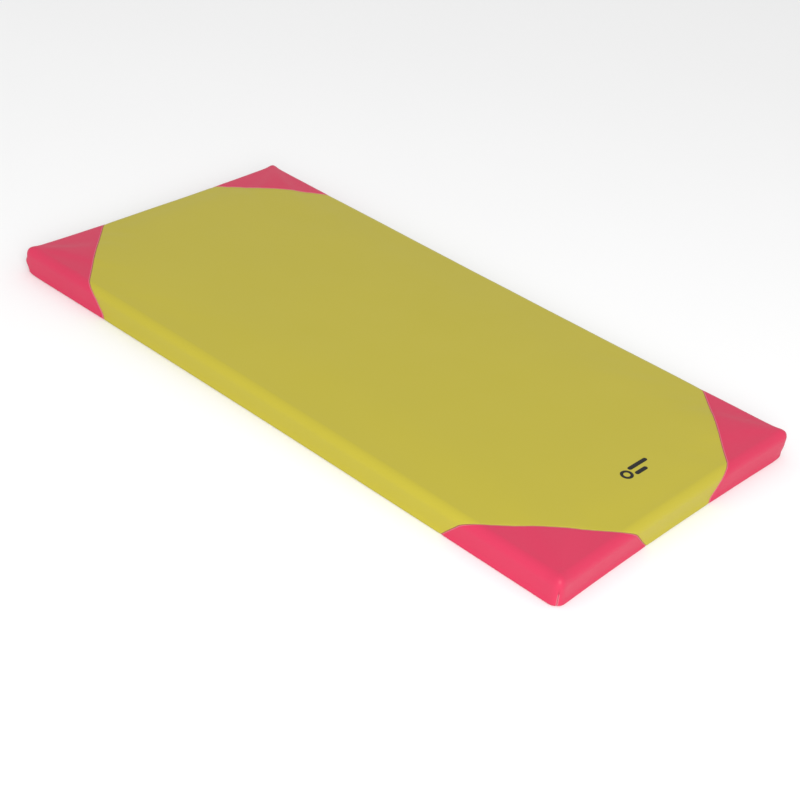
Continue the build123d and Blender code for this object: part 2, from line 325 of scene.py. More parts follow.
def seam_strip(net, corner, towards):
    """The fine mesh beside one diagonal seam, on the corner's side (towards 1) or the other (-1)."""
    side_x, side_y = corner
    for side, sign in flaps_of(corner):
        coarse = rows_of(side)
        fine, step = finer(coarse)
        place, steep = seam_place(side, fine)
        t = place[:, None] + towards * SEAM_ROWS * steep[:, None]
        ids = net.grid(on_side(side, sign * t, fine[:, None], SEAM_ROWS * towards))
        place, steep = seam_place(side, coarse)
        edge = net.add(on_side(side, sign * (place + towards * COARSE_GAP * steep), coarse))
        net.fan(edge, ids[:, -1])
    cells = round((CORNER_LEG - 2 * CORNER_ROUND - towards * COARSE_GAP * math.sqrt(2)) / CELL)
    step = round(CELL * math.sqrt(2) / FINE)
    start = np.array((HALF_X - CORNER_LEG + CORNER_ROUND, INNER_Y))
    end = np.array((INNER_X, HALF_Y - CORNER_LEG + CORNER_ROUND))

    def line(u, gap):
        shift = towards * gap * math.sqrt(2)
        x = start[0] + (end[0] - start[0]) * u + shift * (1 - u)
        y = start[1] + (end[1] - start[1]) * u + shift * u
        return side_x * x, side_y * y

    u = np.linspace(0, 1, cells * step + 1)
    ids = net.grid(on_flat(*line(u[:, None], SEAM_ROWS), gap=SEAM_ROWS * towards))
    edge = net.add(on_flat(*line(u[::step], COARSE_GAP)))
    net.fan(edge, ids[:, -1])


def cut_grid(net, x, y, inside):
    """A flat grid, with only the cells and half cells whose corners pass a test."""
    ids = net.add(on_flat(x[:, None], y[None, :]))
    keep = inside(np.abs(x)[:, None] + np.abs(y)[None, :])
    for i in range(x.size - 1):
        for j in range(y.size - 1):
            ring = [(i, j), (i + 1, j), (i + 1, j + 1), (i, j + 1)]
            face = [ids[node] for node in ring if keep[node]]
            if len(face) >= 3:
                net.faces.append(face)


def top_sheet():
    """The large sheet: the top between the diagonal seams, and four side flaps."""
    net = Net()
    gap = COARSE_GAP * math.sqrt(2)
    edge_x = HALF_X - CORNER_LEG + CORNER_ROUND - gap
    edge_y = HALF_Y - CORNER_LEG + CORNER_ROUND - gap
    x = joined(spaced(-INNER_X, -edge_x, CELL), spaced(-edge_x, edge_x, CELL), spaced(edge_x, INNER_X, CELL))
    y = joined(spaced(-INNER_Y, -edge_y, CELL), spaced(-edge_y, edge_y, CELL), spaced(edge_y, INNER_Y, CELL))
    limit = edge_x + INNER_Y + NUDGE
    cut_grid(net, x, y, lambda reach: reach < limit)
    for side in SIDES:
        rows = rows_of(side)
        place, steep = seam_place(side, rows)
        half = place - COARSE_GAP * steep
        u = np.linspace(-1, 1, spaced(-half[0], half[0], CELL).size)
        net.grid(on_side(side, half[:, None] * u, rows[:, None]))
    for corner in CORNERS.values():
        seam_strip(net, corner, -1)
    return net


def corner_sheet(corner):
    """The sheet over one corner: a triangle of the top and two side flaps that meet in an upright seam."""
    net = Net()
    side_x, side_y = corner
    gap = COARSE_GAP * math.sqrt(2)
    edge_x = HALF_X - CORNER_LEG + CORNER_ROUND + gap
    edge_y = HALF_Y - CORNER_LEG + CORNER_ROUND + gap
    limit = edge_x + INNER_Y - NUDGE
    x, y = spaced(edge_x, INNER_X, CELL), spaced(edge_y, INNER_Y, CELL)
    cut_grid(net, side_x * x, side_y * y, lambda reach: reach > limit)
    seam_strip(net, corner, 1)
    edge_columns = np.concatenate((SEAM_ROWS, CORNER_OUTER_ROWS, (HALF_ARC,)))
    for leaf, (side, sign) in enumerate(flaps_of(corner), start=1):
        length = INNER_Y if SIDES[side][0] else INNER_X
        rows = rows_of(side)
        place, steep = seam_place(side, rows)
        start = place + COARSE_GAP * steep
        last = SLOT_HALF if side == "left" else length
        u = np.linspace(0, 1, spaced(start[0], length, CELL).size)
        if side == "left":
            columns = np.append(u[u * (length - start[0]) + start[0] < last - CELL / 4], 1)
            ends = start[:, None] + (length - start[:, None]) * columns
            ends[:, -1] = last
            net.grid(on_side(side, sign * ends, rows[:, None]))
            net.grid(on_side(side, sign * np.array([[last, length]]), ROWS[:, None]))
        else:
            t = start[:, None] + (length - start[:, None]) * u
            net.grid(on_side(side, sign * t, rows[:, None]))
        open_rows = profile(ROWS)[1] < DART_TOP
        columns = np.tile(edge_columns, (ROWS.size, 1))
        columns[~open_rows, 0] = 0
        round_corner = on_side(side, sign * (length + HALF_ARC - columns), ROWS[:, None])
        round_corner[open_rows, 0, LEAF] = leaf
        net.grid(round_corner)
    return net


def base_sheet():
    """The non-slip sheet under the mat, with its rolled edge."""
    net = Net()
    rows = joined(S_END + roll(), spaced(S_END + SEAM_ROLL, S_CENTRE, WALL_CELL))
    x, y = spaced(-INNER_X, INNER_X, 2 * CELL), spaced(-INNER_Y, INNER_Y, 2 * CELL)
    net.grid(on_flat(x[:, None], y[None, :], top=False))
    for side, (out_x, _) in SIDES.items():
        length, inner = (INNER_Y, y) if out_x else (INNER_X, x)
        arc = np.linspace(0, HALF_ARC, 7)[1:]
        t = np.concatenate((-length - arc[::-1], inner, length + arc))
        net.grid(on_side(side, t, rows[:, None]))
    return net


def zip_sheet():
    """The low strip of cover under the zip."""
    net = Net()
    rows = ROWS_LOW[ROWS_LOW > S_BAND + 0.002]
    net.grid(on_side("left", spaced(-SLOT_HALF, SLOT_HALF, CELL), np.insert(rows, 0, S_BAND)[:, None]))
    return net


def closed_form(cell, rows):
    """The whole outside of the cover as one closed net, for the simulation and for the foam."""
    net = Net()
    x, y = spaced(-INNER_X, INNER_X, cell), spaced(-INNER_Y, INNER_Y, cell)
    net.grid(on_flat(x[:, None], y[None, :]))
    net.grid(on_flat(x[:, None], y[None, :], top=False))
    arc = np.linspace(0, HALF_ARC, 3)[1:]
    for side, (out_x, _) in SIDES.items():
        length, inner = (INNER_Y, y) if out_x else (INNER_X, x)
        t = np.concatenate((-length - arc[::-1], inner, length + arc))
        net.grid(on_side(side, t, rows[:, None]))
    return net


def outward(places, faces):
    """Unit normals at the points of a mesh, each face weighted by its area."""
    normals = np.zeros_like(places)
    for corners in (3, 4):
        ring = np.array([face for face in faces if len(face) == corners], int).reshape(-1, corners)
        a, b, c, last = (places[ring[:, n]] for n in (0, 1, 2, -1))
        facing = np.cross(c - a, last - b) if corners == 4 else np.cross(b - a, c - a)
        for n in range(corners):
            np.add.at(normals, ring[:, n], facing)
    return normals / np.maximum(np.linalg.norm(normals, axis=1, keepdims=True), 1e-12)


def thickened(places, faces, thickness):
    """The closed shell between a surface and the same surface drawn in by thickness."""
    inner = places - outward(places, faces) * thickness
    count = len(places)
    edges = {(face[n - 1], face[n]) for face in faces for n in range(len(face))}
    rim = [[b, a, a + count, b + count] for a, b in edges if (b, a) not in edges]
    under = [[i + count for i in reversed(face)] for face in faces]
    return np.concatenate((places, inner)), faces + under + sorted(rim)


def new_piece(name, places, faces):
    """A mesh object, smooth except along its sharp edges."""
    mesh = bpy.data.meshes.new(name)
    mesh.from_pydata(places.tolist(), [], faces)
    mesh.validate()
    mesh.shade_smooth()
    mesh.set_sharp_from_angle(angle=math.radians(SHARP))
    piece = bpy.data.objects.new(name, mesh)
    bpy.context.scene.collection.objects.link(piece)
    return piece


# The padded form

def rolled(distance):
    """How deep a sheet lies at a distance from a seam where its edge turns down."""
    return SEAM_DEPTH * (1 - np.sqrt(1 - np.clip(1 - distance / SEAM_ROLL, 0, 1) ** 2))


class Padding:
    """How far stuffing moves each place on the cover, found by inflating its closed form as cloth."""

    BEND_STEP, WALL_STEP = 0.007, 0.0105  # spacing of the simulated mesh's rows
    FRAMES = 20
    PRESSURE = 4.0
    STIFFNESS = 40
    SEAM_SHRINK = 0.03
    HELD_HEIGHT = 0.010  # the cover's foot stays where it is

    def __init__(self):
        rows = joined(
            spaced(0, S_BEND, S_BEND),
            spaced(S_BEND, S_WALL, self.BEND_STEP),
            spaced(S_WALL, S_TURN, self.WALL_STEP),
            (S_TURN, S_LIP, S_END, S_CENTRE),
        )
        points, faces = closed_form(CAGE_CELL, rows).merged()
        self.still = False
        if self.still:
            return
        cage = new_piece("cage", points[:, : Z + 1], faces)
        self.hold(cage, points)
        moved = self.inflate(cage)
        rest, triangles = self.smoothed(cage, points[:, : Z + 1])
        self.moves = self.smoothed(cage, moved)[0] - rest
        self.rest, self.triangles = rest, triangles
        self.tree = BVHTree.FromPolygons(rest.tolist(), triangles.tolist())
        bpy.data.objects.remove(cage)

    def hold(self, cage, points):
        """Pin the foot and the zip's surround, and mark the diagonal seams, which shrink."""
        held = cage.vertex_groups.new(name="held")
        seams = cage.vertex_groups.new(name="seams")
        near_zip = (points[:, NX] < -0.5) & (points[:, Z] < SLOT_HIGH + 0.01)
        pinned = np.flatnonzero((points[:, Z] < self.HELD_HEIGHT) | near_zip)
        held.add(pinned.tolist(), 1.0, "REPLACE")
        closeness = 1 - np.clip(np.abs(seam_gap(points)) / CAGE_CELL, 0, 1)
        for i in np.flatnonzero(closeness):
            seams.add([int(i)], float(closeness[i]), "REPLACE")

    def inflate(self, cage):
        """Run the simulation, and give the places where the cage's points end up."""
        cloth = cage.modifiers.new("Cloth", "CLOTH").settings
        cloth.quality = 5
        cloth.mass = 0.3
        cloth.tension_stiffness = self.STIFFNESS
        cloth.compression_stiffness = self.STIFFNESS
        cloth.shear_stiffness = self.STIFFNESS
        cloth.bending_stiffness = 2
        cloth.use_pressure = True
        cloth.uniform_pressure_force = self.PRESSURE
        cloth.effector_weights.gravity = 0
        cloth.vertex_group_mass = "held"
        cloth.vertex_group_shrink = "seams"
        cloth.shrink_max = self.SEAM_SHRINK
        for number in range(1, self.FRAMES + 1):
            bpy.context.scene.frame_set(number)
        result = cage.evaluated_get(bpy.context.evaluated_depsgraph_get()).data
        moved = np.zeros(len(result.vertices) * 3)
        result.vertices.foreach_get("co", moved)
        bpy.context.scene.frame_set(1)
        cage.modifiers.clear()
        return moved.reshape(-1, 3)

    def smoothed(self, cage, places):
        """The cage at these places, rounded by one subdivision, as points and triangles."""
        cage.data.vertices.foreach_set("co", places.ravel())
        cage.data.update()
        cage.modifiers.new("Rounding", "SUBSURF").levels = 1
        bpy.context.view_layer.update()
        result = cage.evaluated_get(bpy.context.evaluated_depsgraph_get()).data
        rounded = np.zeros(len(result.vertices) * 3)
        result.vertices.foreach_get("co", rounded)
        result.calc_loop_triangles()
        triangles = np.zeros(len(result.loop_triangles) * 3, np.int32)
        result.loop_triangles.foreach_get("vertices", triangles)
        cage.modifiers.clear()
        return rounded.reshape(-1, 3), triangles.reshape(-1, 3)

    def at(self, places):
        """The moves at these places, read from the nearest triangles of the rounded cage."""
        if self.still:
            return np.zeros_like(places)
        hits = [self.tree.find_nearest(place)[::2] for place in places.tolist()]
        spots = np.array([hit[0][:] for hit in hits])
        corners = self.triangles[[hit[1] for hit in hits]]
        a, b, c = (self.rest[corners[:, n]] for n in range(3))
        whole = np.cross(b - a, c - a)
        area = np.maximum((whole**2).sum(1), 1e-24)
        share_b = (np.cross(spots - a, c - a) * whole).sum(1) / area
        share_c = (np.cross(b - a, spots - a) * whole).sum(1) / area
        shares = np.stack((1 - share_b - share_c, share_b, share_c), 1)
        move = (self.moves[corners] * shares[..., None]).sum(1)
        size = np.maximum(np.linalg.norm(move, axis=1, keepdims=True), 1e-9)
        return move / size * SWELL_LIMIT * np.tanh(size / SWELL_LIMIT)


def ripples(places, count, shortest, longest, height, seed):
    """A smooth, fixed pattern of shallow waves."""
    draw = np.random.default_rng(seed)
    total = np.zeros(len(places))
    for _ in range(count):
        direction = draw.normal(size=3)
        direction /= np.linalg.norm(direction)
        length = draw.uniform(shortest, longest)
        total += np.sin(2 * math.pi * (places @ direction) / length + draw.uniform(0, 2 * math.pi))
    return height * total / math.sqrt(count)


def drawn_in(places):
    """The pull of the sides towards the middle, and the pointed tips and tucked feet of the corners."""
    x, y, z = places.T
    up = z / HEIGHT
    sign_x, sign_y = np.sign(x), np.sign(y)
    side_x, side_y = HALF_X - np.abs(x), HALF_Y - np.abs(y)
    move = np.zeros_like(places)
    above_zip = np.where(x < 0, smooth(z, SLOT_HIGH + 0.004, HEIGHT), 1)
    bow = BOW_SHORT * (1 - (y / HALF_Y) ** 2)
    move[:, 0] = -sign_x * bow * above_zip * smooth(side_x, HALF_X / 4, CORNER_ROUND)
    bow = BOW_LONG * (1 - (x / HALF_X) ** 2)
    move[:, 1] = -sign_y * bow * smooth(side_y, HALF_Y / 2, CORNER_ROUND)
    inset = CORNER_ROUND - (CORNER_ROUND - TOP_ROUND * (1 - math.sqrt(2 / 3))) * math.sqrt(0.5)
    level = HEIGHT - TOP_ROUND * (1 - math.sqrt(1 / 3))
    away = (side_x - inset) ** 2 + (side_y - inset) ** 2 + (z - level) ** 2
    move[:, 2] = PEAK_UP * np.exp(-away / PEAK_REACH**2)
    rim = CORNER_ROUND * (1 - math.sqrt(0.5))
    away = (side_x - rim) ** 2 + (side_y - rim) ** 2
    peak = PEAK_OUT * np.exp(-away / PEAK_REACH**2) * smooth(up, 0.0, 0.5)
    tuck = TUCK * np.exp(-away / TUCK_REACH**2) * smooth(up, TUCK_TOP, 0.0)
    tuck *= np.where(x < 0, smooth(-y, SLOT_HALF + 0.002, HALF_Y - 0.010), y > 0)
    move[:, 0] += sign_x * (peak - tuck) * math.sqrt(0.5)
    move[:, 1] += sign_y * (peak - tuck) * math.sqrt(0.5)
    return move


def settled(points, seams=True):
    """Where cover points end up, and how near each is to a seam."""
    places, normals = points[:, X : Z + 1], points[:, NX : NZ + 1]
    at_zip = smooth(-points[:, NX], 0.3, 0.8) * smooth(points[:, Z], SLOT_HIGH + 0.018, SLOT_HIGH + 0.002)
    free = (1 - at_zip) * smooth(points[:, Z], 0.0, 0.012)
    gap = np.abs(np.where(np.isnan(points[:, GAP]), seam_gap(points), points[:, GAP]))
    edge = points[:, EDGE]
    base = np.abs(points[:, DOWN] - S_END)
    base[points[:, DOWN] < S_WALL] = FAR_AWAY
    upright = smooth(points[:, Z], DART_TOP + 0.003, DART_TOP - 0.014) * (points[:, DOWN] < S_LIP)
    lift = ripples(places, *WAVES_ALL)
    lift += np.exp(-gap / WAVES_SEAM_REACH) * ripples(places, *WAVES_SEAM)
    lift += np.exp(-edge / WAVES_CORNER_REACH) * ripples(places, *WAVES_CORNER) * upright
    swell = padding.at(places)
    outwards = normals * (swell * normals).sum(1, keepdims=True)
    swell = outwards + DRIFT * (swell - outwards)
    move = (swell + normals * lift[:, None]) * free[:, None] + drawn_in(places)
    if not seams:
        return places + move, None
    open_side = np.where((points[:, NX] < -0.5) & (points[:, Z] < SLOT_HIGH + 0.001), 0, 1)
    depth = (rolled(gap) + SEAM_SAG * np.exp(-gap / SEAM_SAG_REACH)) * open_side
    depth = np.maximum(depth, (rolled(edge) + SEAM_SAG * np.exp(-edge / SEAM_SAG_REACH)) * upright)
    depth = np.maximum(depth, rolled(base))
    nearest = np.minimum(np.minimum(gap + (1 - open_side), edge + (1 - upright)), base)
    return places + move - normals * depth[:, None], nearest


padding = Padding()


def cover_piece(name, net, node, slot):
    """A finished sheet of the cover that stands for its CAD node."""
    points, faces = net.merged()
    places, nearest = settled(points)
    places, faces = thickened(places, faces, SHEET)
    piece = new_piece(name, places, faces)
    # closeness to a seam, which the vinyl shader uses for its painted fold highlight, its painted groove
    # shade and its roughness
    closeness = piece.data.attributes.new("seam", "FLOAT", "POINT")
    closeness.data.foreach_set("value", np.tile(np.exp(-nearest / SEAM_ROLL), 2).astype(np.float32))
    return finished(piece, slot, node)


def finished(piece, slot, *nodes):
    """The piece, riding on the mat and standing for its CAD nodes, if it has any."""
    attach(piece, "mat")
    if nodes:
        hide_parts(*nodes)
    return piece


def foam():
    """The foam block: the cover's closed form drawn in, with a relief behind the zip."""
    rows = joined(
        spaced(0, S_BEND, S_BEND),
        spaced(S_BEND, S_WALL, WALL_CELL),
        spaced(S_WALL, S_TURN, BEND_CELL),
        (S_TURN, S_LIP, S_CENTRE),
    )
    points, faces = closed_form(2 * CELL, rows).merged()
    places, _ = settled(points, seams=False)
    places -= points[:, NX : NZ + 1] * (FOAM_INSET + SQUEEZE)
    off_teeth = np.abs(points[:, Z] - TEETH_MIDDLE)
    behind_zip = smooth(off_teeth, RELIEF_HALF, RELIEF_HALF - 0.004) * (points[:, NX] < -0.9)
    places[:, 0] += RELIEF * behind_zip * (np.abs(points[:, Y]) < SLOT_HALF)
    return finished(new_piece("foam_block", places, faces), "foam", "foam_core")


# Stitches

def seam_paths(corner):
    """Cover points along one diagonal seam, from the foot of one side to the foot of the other."""
    runs = []
    for side, sign in flaps_of(corner):
        rows = np.linspace(0, S_SLOT - THREAD if side == "left" else S_LIP, 60)
        runs.append(on_side(side, sign * seam_place(side, rows)[0], rows, 0))
    u = np.linspace(0, 1, 200)[1:-1]
    start, end = runs[0][0], runs[1][0]
    flat = on_flat(start[X] + (end[X] - start[X]) * u, start[Y] + (end[Y] - start[Y]) * u, gap=0)
    return np.concatenate((runs[0][::-1], flat, runs[1]))


def along(points):
    """The same line of points at even steps, away from its ends."""
    steps = np.linalg.norm(np.diff(points[:, : Z + 1], axis=0), axis=1)
    length = np.concatenate(([0], np.cumsum(steps)))
    count = int(length[-1] / STITCH_PITCH)
    spots = (np.arange(count) + 0.5) * length[-1] / count
    return np.stack([np.interp(spots, length, points[:, n]) for n in range(points.shape[1])], 1)


def stitches(name, lines, across, depth, length, slot, *nodes):
    """Short threads at every point of each line, lying across it or along it, as one piece."""
    u = np.array((-1, -0.93, -0.6, 0, 0.6, 0.93, 1))
    girth = np.array((0, 0.6, 1, 1, 1, 0.6, 0)) * THREAD / 2
    dip = THREAD * u**4
    around = np.arange(THREAD_SIDES) * 2 * math.pi / THREAD_SIDES
    rings = [
        [(u[n] * length / 2, girth[n] * math.cos(a), girth[n] * math.sin(a) - dip[n]) for a in around]
        for n in range(1, 6)
    ]
    first, last = (-length / 2, 0, -dip[0]), (length / 2, 0, -dip[-1])
    shape = np.array([first] + [spot for ring in rings for spot in ring] + [last])
    last_ring, tip = 1 + THREAD_SIDES * 4, 1 + THREAD_SIDES * 5
    faces = []
    for k in range(THREAD_SIDES):
        turn = (k + 1) % THREAD_SIDES
        faces += [[0, 1 + turn, 1 + k], [tip, last_ring + k, last_ring + turn]]
        for n in range(4):
            low, high = 1 + THREAD_SIDES * n, 1 + THREAD_SIDES * (n + 1)
            faces.append([low + k, low + turn, high + turn, high + k])
    places, all_faces = [], []
    for line in lines:
        points = along(line)
        centre, _ = settled(points, seams=False)
        normal = points[:, NX : NZ + 1] / np.linalg.norm(points[:, NX : NZ + 1], axis=1, keepdims=True)
        forward = np.gradient(centre, axis=0)
        forward -= (forward * normal).sum(1, keepdims=True) * normal
        forward /= np.linalg.norm(forward, axis=1, keepdims=True)
        sideways = np.cross(normal, forward)
        lying, other = (sideways, -forward) if across else (forward, sideways)
        for n in range(len(points)):
            base = centre[n] - normal[n] * depth
            start = len(places) * len(shape)
            places.append(base + shape @ np.stack((lying[n], other[n], normal[n])))
            all_faces += [[i + start for i in face] for face in faces]
    return finished(new_piece(name, np.concatenate(places), all_faces), slot, *nodes)


def corner_edge_line(corner):
    """Down the upright seam of one corner."""
    side, sign = flaps_of(corner)[0]
    rows = np.linspace(S_WALL, S_TURN, 30)
    return on_side(side, np.full(rows.size, sign * (INNER_X + HALF_ARC)), rows)


def base_line():
    """Once round the seam on the underside."""
    runs = []
    for side, turn in (("near", 1), ("right", 1), ("far", -1), ("left", -1)):
        length = (INNER_Y if SIDES[side][0] else INNER_X) + HALF_ARC
        t = turn * np.linspace(-length, length, 400)[:-1]
        runs.append(on_side(side, t, np.full(t.size, S_END)))
    return np.concatenate(runs)


def zip_line(height):
    """Along the zip at a height."""
    y = np.linspace(-SLOT_HALF, SLOT_HALF, 3)
    return on_side("left", y, S_WALL + HEIGHT - TOP_ROUND - height)


# The printed mark

def mark_bar(net, start, end, across):
    """One bar with rounded ends."""
    tip = MARK_BAR * (1 - np.cos(np.linspace(0.2, math.pi / 2, 6)))
    u = joined(start + tip, spaced(start + MARK_BAR, end - MARK_BAR, CELL / 2), end - tip[::-1])
    short = np.maximum(MARK_BAR - np.minimum(u - start, end - u), 0)
    v = across + np.sqrt(MARK_BAR**2 - short**2)[:, None] * np.linspace(-1, 1, 3)
    net.grid(on_flat(MARK_X - v, MARK_Y + u[:, None]))


def printed_mark():
    """The ring and bars, just proud of the top."""
    net = Net()
    angle = np.linspace(0, 2 * math.pi, 49)[:, None]
    radius = np.linspace(*MARK_RING, 4)
    middle = MARK_Y + MARK_RING_START + MARK_RING[1]
    net.grid(on_flat(MARK_X + radius * np.cos(angle), middle + radius * np.sin(angle)))
    for bar in MARK_BARS:
        mark_bar(net, *bar)
    points, faces = net.merged()
    places, _ = settled(points)
    places[:, 2] += 2 * INK
    places, faces = thickened(places, faces, INK)
    return finished(new_piece("printed_mark", places, faces), "zip_plastic")


def seam_stitches(name, lines, slot, node):
    """Stitches down in a seam, across it."""
    return stitches(name, lines, True, SEAM_STITCH_DEPTH, SEAM_STITCH, slot, node)


def zip_topstitches():
    """Stitches along the zip, on both sides of it."""
    lines = [zip_line(SLOT_HIGH + STITCH_INSET), zip_line(SLOT_LOW - STITCH_INSET)]
    name, node = "zip_topstitches", "zip_seam_threads"
    return stitches(name, lines, False, TOP_STITCH_DEPTH, TOP_STITCH, "main_thread", node)


seam_lines = [seam_paths(corner) for corner in CORNERS.values()]
edge_lines = [corner_edge_line(corner) for corner in CORNERS.values()]
made_pieces = [
    cover_piece("top_cover", top_sheet(), "top_panel", "main_vinyl"),
    *(
        cover_piece(f"corner_cover_{name}", corner_sheet(corner), f"corner_panel_{name}", "corner_vinyl")
        for name, corner in CORNERS.items()
    ),
    cover_piece("base_cover", base_sheet(), "base_panel", "base_vinyl"),
    cover_piece("zip_cover", zip_sheet(), "zip_band", "main_vinyl"),
    foam(),
    seam_stitches("corner_seam_stitches", seam_lines, "corner_thread", "corner_seam_threads"),
    seam_stitches("corner_edge_stitches", edge_lines, "corner_thread", "corner_edge_threads"),
    seam_stitches("base_seam_stitches", [base_line()], "main_thread", "base_seam_thread"),
    zip_topstitches(),
    printed_mark(),
]
pieces = {piece.name: piece for piece in made_pieces}


# Materials

LIME, LIME_SHADE = (0.450, 0.384, 0.031, 1), (0.430, 0.370, 0.028, 1)
PINK, PINK_SHADE = (0.585, 0.030, 0.087, 1), (0.560, 0.026, 0.080, 1)
LIME_YARN = (0.50, 0.44, 0.07, 1), (0.33, 0.28, 0.03, 1)
PINK_YARN = (0.62, 0.05, 0.10, 1), (0.36, 0.02, 0.05, 1)
LIME_FOLD_HIGHLIGHT, PINK_FOLD_HIGHLIGHT = 0.15, 1  # how much paler the vinyl is painted where it folds into a seam: a painted highlight on the fold
ZIP_BLACK = (0.012, 0.012, 0.013, 1)
VINYL_GRAIN = 800  # cells of the moulded grain in a metre


class Shader:
    """A material's node tree, built one node at a time."""

    def __init__(self, name):
        self.material = bpy.data.materials.new(name)
        self.material.use_nodes = True
        self.tree = self.material.node_tree
        self.tree.nodes.clear()
        self.place = self.node("TexCoord").outputs["Object"]

    def node(self, kind, inputs=None, **settings):
        node = self.tree.nodes.new("ShaderNode" + kind)
        for key, value in settings.items():
            setattr(node, key, value)
        for key, value in (inputs or {}).items():
            self.put(value, node.inputs[key])
        return node

    def put(self, value, socket):
        if isinstance(value, bpy.types.NodeSocket):
            self.tree.links.new(value, socket)
        else:
            socket.default_value = value

    def noise(self, scale, detail):
        inputs = {"Vector": self.place, "Scale": scale, "Detail": detail}
        return self.node("TexNoise", inputs).outputs["Fac"]

    def cells(self, scale, **settings):
        """Distance from the middle of the nearest cell of a fixed pattern."""
        inputs = {"Vector": self.place, "Scale": scale}
        return self.node("TexVoronoi", inputs, **settings).outputs["Distance"]

    def threads(self, scale, distortion, direction):
        inputs = {"Vector": self.place, "Scale": scale, "Distortion": distortion}
        return self.node("TexWave", inputs, bands_direction=direction).outputs["Fac"]

    def scaled(self, value, low, high, start=0.0, end=1.0):
        inputs = {"Value": value, "From Min": start, "From Max": end, "To Min": low, "To Max": high}
        return self.node("MapRange", inputs).outputs["Result"]

    def mix(self, share, first, second):
        node = self.node("Mix", data_type="RGBA")
        for value, socket in ((share, node.inputs[0]), (first, node.inputs[6]), (second, node.inputs[7])):
            self.put(value, socket)
        return node.outputs[2]

    def maths(self, operation, first, second):
        return self.node("Math", {0: first, 1: second}, operation=operation).outputs[0]

    def bump(self, height, strength, distance, normal=None):
        inputs = {"Height": height, "Strength": strength, "Distance": distance}
        if normal is not None:
            inputs["Normal"] = normal
        return self.node("Bump", inputs).outputs["Normal"]

    def finish(self, colour, roughness, normal, **more):
        inputs = {"Base Color": colour, "Roughness": roughness, "Normal": normal}
        inputs.update({key.replace("_", " "): value for key, value in more.items()})
        self.node("OutputMaterial", {"Surface": self.node("BsdfPrincipled", inputs).outputs[0]})
        return self.material


def vinyl(name, colour, shade, fold_highlight):
    """Coated cloth with a fine moulded grain, with a painted highlight where it folds into a seam and
    painted shade inside the seam.
    """
    made = Shader(name)
    seam = made.node("Attribute", attribute_name="seam").outputs["Fac"]
    mottle = made.scaled(made.noise(5, 3), 0.0, 0.35, 0.3, 0.7)
    body = made.mix(mottle, colour, shade)
    # painted highlight: a paler copy of the colour along the sheet's fold into a seam
    pale = tuple(0.7 * c + 0.25 for c in colour[:3]) + (1,)
    rise, fall = made.scaled(seam, 0, 0.5, 0.12, 0.30), made.scaled(seam, fold_highlight, 0, 0.45, 0.40)
    body = made.mix(made.maths("MULTIPLY", rise, fall), body, pale)
    # painted shade: the colour darkened, in patches, down in the seam's groove
    deep = tuple(0.6 * c for c in colour[:3]) + (1,)
    patches = made.scaled(made.noise(60, 3), 0.6, 1)
    body = made.mix(made.maths("MULTIPLY", made.scaled(seam, 0, 0.8, 0.5, 1.0), patches), body, deep)
    cells = made.cells(VINYL_GRAIN, feature="SMOOTH_F1")
    grain = made.maths("ADD", made.maths("MULTIPLY", cells, 0.6), made.noise(1500, 2))
    soft = made.bump(made.noise(110, 3), 0.12, 0.0006)
    normal = made.bump(grain, 0.25, 0.00015, soft)
    rough = made.maths("ADD", made.scaled(made.noise(9, 4), 0.40, 0.50), made.maths("MULTIPLY", seam, 0.15))
    return made.finish(body, rough, normal, Specular_IOR_Level=0.30)


def non_slip(name):
    """Underside cloth: dark, matte, with a grid of low moulded dots."""
    made = Shader(name)
    grid = {"Vector": made.place, "Scale": 180, "Randomness": 0.0}
    dome = made.scaled(made.node("TexVoronoi", grid).outputs["Distance"], 1, 0, 0.10, 0.38)
    mottle = made.scaled(made.noise(40, 3), 0, 1, 0.35, 0.65)
    colour = made.mix(mottle, (0.030, 0.032, 0.035, 1), (0.05, 0.052, 0.056, 1))
    colour = made.mix(made.maths("MULTIPLY", dome, 0.4), colour, (0.075, 0.077, 0.08, 1))
    fine = made.bump(made.noise(2200, 2), 0.3, 0.0001)
    return made.finish(colour, made.scaled(dome, 0.85, 0.6), made.bump(dome, 0.9, 0.0007, fine))


def open_cell(name):
    """Cut polyurethane foam: pale, with small open cells."""
    made = Shader(name)
    cells = made.cells(1100)
    colour = made.mix(made.noise(14, 4), (0.66, 0.62, 0.47, 1), (0.76, 0.73, 0.60, 1))
    # painted shade: the open cells' hollows painted darker
    colour = made.mix(made.scaled(cells, 0.5, 0, 0.0, 0.35), colour, (0.35, 0.32, 0.22, 1))
    return made.finish(colour, 0.95, made.bump(cells, 0.8, 0.0005), Specular_IOR_Level=0.2)


def yarn(name, colour, dark):
    """Twisted polyester thread."""
    made = Shader(name)
    twist = made.threads(700, 1.5, "DIAGONAL")
    body = made.mix(made.scaled(made.noise(90, 2), 0, 1, 0.3, 0.7), colour, dark)
    body = made.mix(made.maths("MULTIPLY", twist, 0.35), body, dark)
    return made.finish(body, 0.55, made.bump(twist, 0.5, 0.0002), Sheen_Weight=0.3)


def woven_tape(name):
    """Zip tape: a close black weave."""
    made = Shader(name)
    weave = made.maths("MULTIPLY", made.threads(420, 0.4, "Y"), made.threads(420, 0.4, "Z"))
    colour = made.mix(weave, (0.006, 0.006, 0.007, 1), (0.030, 0.030, 0.033, 1))
    colour = made.mix(made.scaled(made.noise(70, 3), 0, 0.5), colour, (0.045, 0.045, 0.048, 1))
    return made.finish(colour, 0.82, made.bump(weave, 0.8, 0.0003), Sheen_Weight=0.25)


def moulded(name, colour):
    """Moulded acetal: smooth and slightly waxy, with faint flow marks."""
    made = Shader(name)
    paler = tuple(1.7 * c for c in colour[:3]) + (1,)
    body = made.mix(made.scaled(made.noise(260, 3), 0, 1, 0.3, 0.7), colour, paler)
    rough = made.scaled(made.noise(500, 2), 0.30, 0.44)
    return made.finish(body, rough, made.bump(made.noise(900, 2), 0.15, 0.0001))


